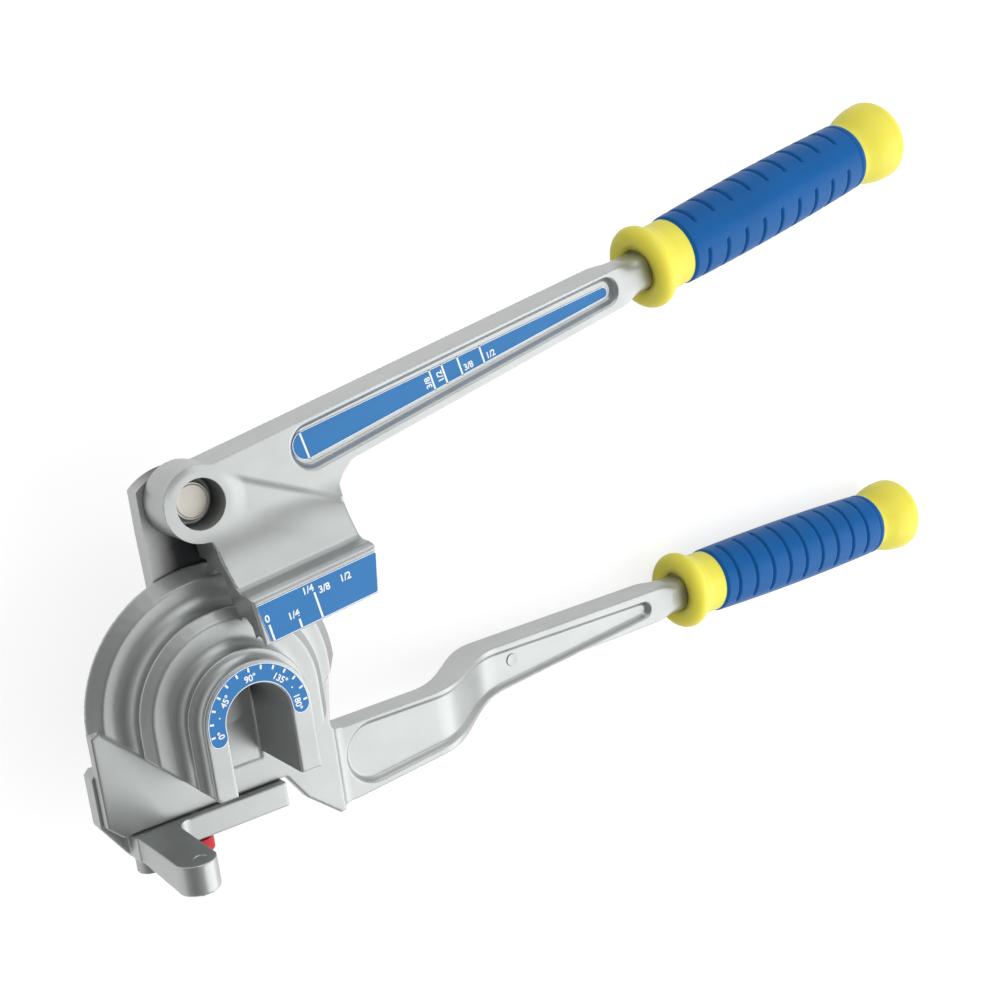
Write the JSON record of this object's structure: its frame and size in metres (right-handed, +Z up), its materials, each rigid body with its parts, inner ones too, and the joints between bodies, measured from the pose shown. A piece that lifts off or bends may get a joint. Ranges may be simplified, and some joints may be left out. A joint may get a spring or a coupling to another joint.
{
  "type": "tube bender",
  "caption": "Hand lever tube bender: stepped forming wheel on a handle, a swinging link with a grooved shoe on the second handle, and a sliding tube hook with a spring lock.",
  "frame": {"origin": "middle of the bounding box's underside, the plane the lower grip rests on when the tool lies on its back", "axes": "+X along the lower handle from the wheel to the grip, +Y from the lower handle to the upper one, +Z up along the pivots, out of the dial face"},
  "size_m": [0.453, 0.2342, 0.0954],
  "materials": {
    "casting": "satin die-cast aluminium",
    "label": "printed film, white marks on blue",
    "grip_liner": "moulded, satin",
    "grip_sleeve": "soft satin overmould",
    "bronze": "oiled sintered bronze",
    "steel": "turned and zinc plated",
    "dark_steel": "oil blackened",
    "link_steel": "tumbled plate steel",
    "lock_red": "moulded, glossy",
    "spring_steel": "drawn wire"
  },
  "bodies": {
    "former": {"forming_wheel_handle": "casting", "angle_dial": "label", "lower_grip_liner": "grip_liner", "lower_grip_sleeve": "grip_sleeve", "centre_bush": "bronze", "guide_screws": "dark_steel", "guide_washers": "steel"},
    "link": {"link_arm": "link_steel", "centre_pin": "steel", "centre_washer": "steel", "centre_rivet_washer": "steel", "link_pin": "steel", "link_pin_rivet_washer": "steel"},
    "lever": {"upper_handle_shoe": "casting", "link_pin_bush": "bronze", "link_pin_washer": "steel", "shoe_scale": "label", "handle_scale": "label", "upper_grip_liner": "grip_liner", "upper_grip_sleeve": "grip_sleeve"},
    "hook": {"tube_hook": "casting", "drag_screw": "dark_steel", "lock_cap": "dark_steel", "lock_spring": "spring_steel"},
    "lock": {"lock_pin": "steel", "lock_knob": "lock_red"}
  },
  "joints": [
    {"name": "link_swing", "type": "hinge", "parent": "former", "child": "link", "pos_m": [-0.1755, -0.05562, 0.045], "axis": [0, 0, 1], "range_deg": [-92, 88]},
    {"name": "handle_lift", "type": "hinge", "parent": "link", "child": "lever", "pos_m": [-0.1755, 0.01938, 0.055], "axis": [0, 0, 1], "range_deg": [0, 80]},
    {"name": "hook_slide", "type": "slide", "parent": "former", "child": "hook", "axis": [1, 0, 0], "range_m": [-0.0215, 0]},
    {"name": "lock_pull", "type": "slide", "parent": "hook", "child": "lock", "axis": [0, -1, 0], "range_m": [0, 0.002], "stiffness_N_per_m": 600, "springref_m": -0.002, "deforming": ["lock_spring"]}
  ]
}
